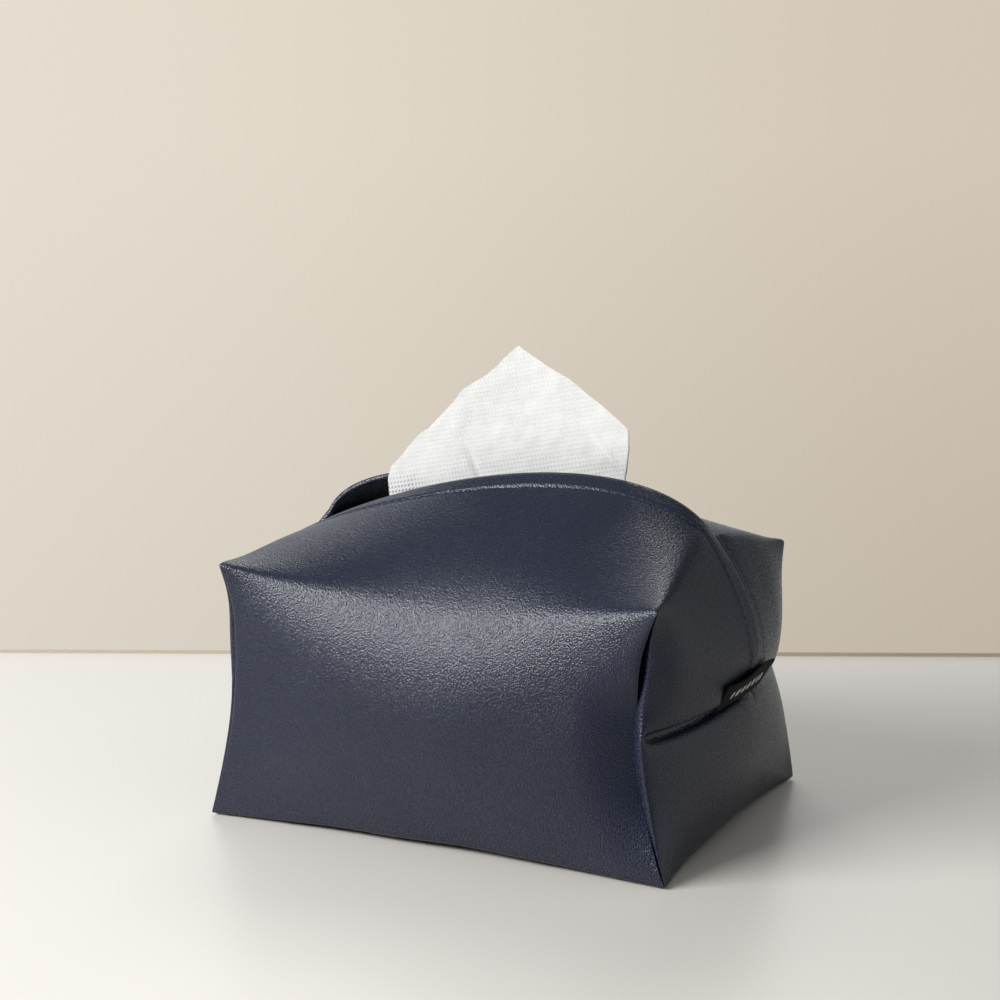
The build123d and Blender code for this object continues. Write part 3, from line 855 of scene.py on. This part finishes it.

# The rows of dots slant by 12 degrees and go on round the fold. The dark inside of the case is behind
# the lowest part of the sheet, most of all at its left end, so the dots there get painted shade.
slant = math.radians(-12)
flat_places = np.stack([unfolded_x * math.cos(slant) + points[..., 2] * math.sin(slant),
                        unfolded_x * math.sin(slant) + points[..., 2] * math.cos(slant)], -1)
over_lip = points[..., 2] - np.interp(points[..., 0], lips[-1][:, 0], lips[-1][:, 2])
# Painted shade for the dots: strongest just over the lip, and more at the left end.
painted_shade = 0.02 + 0.22 * share_of(1 - over_lip / 11)
painted_shade += 0.7 * share_of(1 - over_lip / 9) * share_of((-36 - points[..., 0]) / 10)
drawn = sheet_of("drawn_sheet", points, flat_places, painted_shade)
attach(drawn, "drawn_sheet")
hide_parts("drawn_tissue")


# The camera stands where the photograph was taken from: to the right of the front and a little above
# the mouth. Its place and direction were fitted to the corners of the case.
azimuth, elevation, roll = math.radians(26.24), math.radians(10.95), math.radians(-0.29)
distance, shift_right, shift_up, lens, sensor = 911.4, -3.36, 72.6, 79.2, 36
back = Vector((math.sin(azimuth) * math.cos(elevation), -math.cos(azimuth) * math.cos(elevation),
               math.sin(elevation)))
right = Vector((math.cos(azimuth), math.sin(azimuth), 0))
up = back.cross(right)
right, up = right * math.cos(roll) + up * math.sin(roll), up * math.cos(roll) - right * math.sin(roll)
stand = Vector((0, 0, ear_height / 2)) + distance * back + shift_right * right + shift_up * up
camera = bpy.data.objects.new("camera", bpy.data.cameras.new("camera"))
bpy.context.scene.collection.objects.link(camera)
camera.matrix_world = Matrix.Translation(stand * mm) @ Matrix((right, up, back)).transposed().to_4x4()
camera.data.lens, camera.data.sensor_width = lens, sensor
bpy.context.scene.camera = camera


# The floor: a pale table top with a slight gloss, which ends behind the case. Its far edge crosses the
# picture at a slant, and a thin darker strip stands along it as painted shadow where the wall meets the
# table.
table_half = 3
joint_left, joint_right, shadow_strip_height = 0.332, 0.126, 1.9 * mm
floor_back = Vector((back.x, back.y, 0)).normalized()
floor_side = Vector((-floor_back.y, floor_back.x, 0))
bpy.ops.mesh.primitive_plane_add(size=1)
floor = bpy.context.object
floor.name = "table_top"
table_corners = ((-table_half, -table_half), (table_half, -table_half),
                 (-table_half, joint_left), (table_half, joint_right))
for vertex, (x, y) in zip(floor.data.vertices, table_corners):
    spot = floor_side * x - floor_back * y
    vertex.co = (spot.x, spot.y, 0)
paint, shader = new_material("Pale table top")
give(paint, shader, {"Base Color": linear("#cbc7bf"), "Roughness": 0.3})
floor.data.materials.append(paint)
corners = [vertex.co.copy() for vertex in floor.data.vertices[2:]]
corners += [corner + Vector((0, 0, shadow_strip_height)) for corner in corners]
mesh = bpy.data.meshes.new("painted_wall_shadow")
mesh.from_pydata(corners, [], [(0, 1, 3, 2)])
painted_shadow_strip = bpy.data.objects.new("painted_wall_shadow", mesh)
bpy.context.scene.collection.objects.link(painted_shadow_strip)
# The strip's grey is painted shadow at the foot of the wall.
shadow_strip_paint, shader = new_material("Grey painted contact shadow")
give(shadow_strip_paint, shader, {"Base Color": linear("#b3a692"), "Roughness": 0.8})
painted_shadow_strip.data.materials.append(shadow_strip_paint)


# The wall: pale plaster, painted lighter on the left, where the window is, and painted darker down
# towards the table: painted light and shade.
world = bpy.data.worlds.new("room")
bpy.context.scene.world = world
world.use_nodes = True
way = add_node(world, "ShaderNodeTexCoord").outputs["Generated"]
height = add_node(world, "ShaderNodeSeparateXYZ", {0: way})


def facing(direction, low, high):
    """How far a ray looks along the direction: 0 at the low cosine, 1 at the high one."""
    along = add_node(world, "ShaderNodeVectorMath", {0: way, 1: direction}, operation="DOT_PRODUCT")
    ramp = add_node(world, "ShaderNodeMapRange", {"Value": along.outputs["Value"], "From Min": low,
                                                  "From Max": high}, interpolation_type="SMOOTHSTEP")
    return ramp.outputs[0]


# Painted light: the wall is lighter on the window's side.
to_right = facing((math.cos(azimuth), math.sin(azimuth), 0), -0.3, 0.3)
painted_wall_light = add_node(world, "ShaderNodeMix", {"Factor": to_right, "A": linear("#e6dfd1"),
                                            "B": linear("#d2c6b5")}, data_type="RGBA")
# Painted shade: the wall darkens down towards the table.
down = add_node(world, "ShaderNodeMapRange", {"Value": height.outputs["Z"], "From Min": -0.03,
                                              "From Max": -0.256})
most = add_node(world, "ShaderNodeMath", {0: to_right, 1: 0.11, 2: 0.08}, operation="MULTIPLY_ADD")
dimmed = add_node(world, "ShaderNodeMath", {0: down.outputs[0], 1: most.outputs[0]}, operation="MULTIPLY")
kept = add_node(world, "ShaderNodeMath", {0: 1.0, 1: dimmed.outputs[0]}, operation="SUBTRACT")
seen_wall = add_node(world, "ShaderNodeBackground", {"Color": painted_wall_light.outputs["Result"],
                                                     "Strength": kept.outputs[0]})

# What lights the case, besides the lamps: the ceiling and two stretches of pale wall. The rest of the
# room is dark, which is why the leatherette is so deep where it doesn't face the window.
lobes = (((0.1, -0.1, 0.98), 0.6, 1.0, 0.6),        # the ceiling
         ((-0.62, 0.78, 0), 0.5, 0.95, 0.7),        # the wall behind, to the left
         ((0.94, 0.34, 0.1), 0.7, 1.0, 0.9))        # the wall on the right, which the end faces
glow = 0.09
for direction, low, high, strength in lobes:
    lit = add_node(world, "ShaderNodeMath", {0: facing(direction, low, high), 1: strength, 2: glow},
                   operation="MULTIPLY_ADD")
    glow = lit.outputs[0]
room = world.node_tree.nodes["Background"]
give(world, room, {"Color": linear("#f3f5f6"), "Strength": glow})
ray = add_node(world, "ShaderNodeLightPath")
seen = add_node(world, "ShaderNodeMixShader", {0: ray.outputs["Is Camera Ray"], 1: room.outputs[0],
                                               2: seen_wall.outputs[0]})
give(world, world.node_tree.nodes["World Output"], {"Surface": seen.outputs[0]})

# The window on the left makes the broad sheen on the front. The skylight behind rims the upper edges.
lamp_aim = 70 * mm


def lamp(name, azimuth, elevation, distance, size, power, colour):
    """A soft box that faces the case. Its angles are in degrees: round from the front, and up."""
    light = bpy.data.lights.new(name, "AREA")
    light.shape, light.size, light.size_y = "RECTANGLE", *size
    light.energy, light.color = power, linear(colour)[:3]
    held = bpy.data.objects.new(name, light)
    bpy.context.scene.collection.objects.link(held)
    a, e = math.radians(azimuth), math.radians(elevation)
    way = Vector((math.sin(a) * math.cos(e), -math.cos(a) * math.cos(e), math.sin(e)))
    held.location = Vector((0, 0, lamp_aim)) + way * distance
    held.rotation_euler = way.to_track_quat("Z", "Y").to_euler()


lamp("window", -38, 29, 1.4, (1.0, 0.44), 34, "#fbfbff")
lamp("skylight", -152, 44, 1.4, (0.7, 0.5), 6, "#fdfaf6")

bpy.context.scene.view_settings.view_transform = "Standard"
